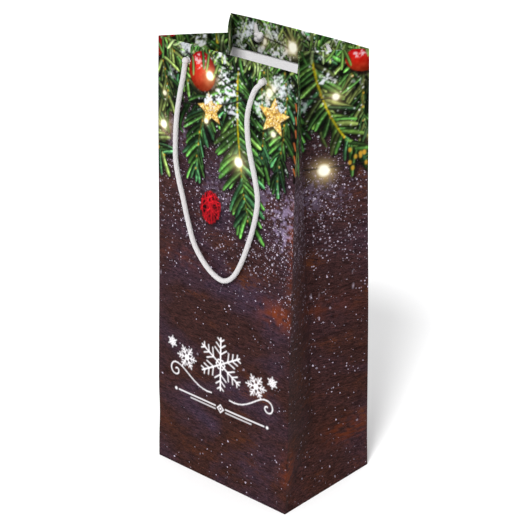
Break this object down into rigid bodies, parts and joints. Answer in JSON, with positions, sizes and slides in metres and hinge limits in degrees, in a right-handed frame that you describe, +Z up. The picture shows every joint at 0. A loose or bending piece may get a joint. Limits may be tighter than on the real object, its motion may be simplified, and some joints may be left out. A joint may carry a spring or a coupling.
{
  "type": "wine gift bag",
  "caption": "Tall paper gift bag for a wine bottle, with pinched side gussets, turned-in top, boarded base and rope handles that swing up.",
  "frame": {"origin": "centre of the base, on the surface the bag stands on", "axes": "+Z up out of the mouth, the front panel faces -Y, the left side is -X"},
  "size_m": [0.128, 0.0965, 0.33],
  "materials": {
    "printed_paper": "satin laminated print",
    "lining_paper": "uncoated white",
    "card": "uncoated grey board",
    "cord": "soft braided cord"
  },
  "bodies": {
    "bag": {"front_panel": "printed_paper", "back_panel": "printed_paper", "left_gusset_front": "printed_paper", "left_gusset_rear": "printed_paper", "left_gusset_foot": "printed_paper", "right_gusset_front": "printed_paper", "right_gusset_rear": "printed_paper", "right_gusset_foot": "printed_paper", "front_hem": "printed_paper", "back_hem": "printed_paper", "left_hem_front": "printed_paper", "left_hem_rear": "printed_paper", "right_hem_front": "printed_paper", "right_hem_rear": "printed_paper", "front_card": "card", "back_card": "card", "side_seam_tab": "lining_paper", "front_flap": "printed_paper", "back_flap": "printed_paper", "left_flap": "lining_paper", "right_flap": "lining_paper", "base_board": "card", "front_knot_left": "cord", "front_knot_right": "cord", "back_knot_left": "cord", "back_knot_right": "cord"},
    "front_handle": {"front_handle": "cord"},
    "back_handle": {"back_handle": "cord"}
  },
  "joints": [
    {"name": "front_handle_swing", "type": "hinge", "parent": "bag", "child": "front_handle", "pos_m": [0, -0.03996, 0.31858], "axis": [-1, 0, 0], "range_deg": [0, 180]},
    {"name": "back_handle_swing", "type": "hinge", "parent": "bag", "child": "back_handle", "pos_m": [0, 0.04176, 0.31864], "axis": [1, 0, 0], "range_deg": [0, 180]}
  ]
}
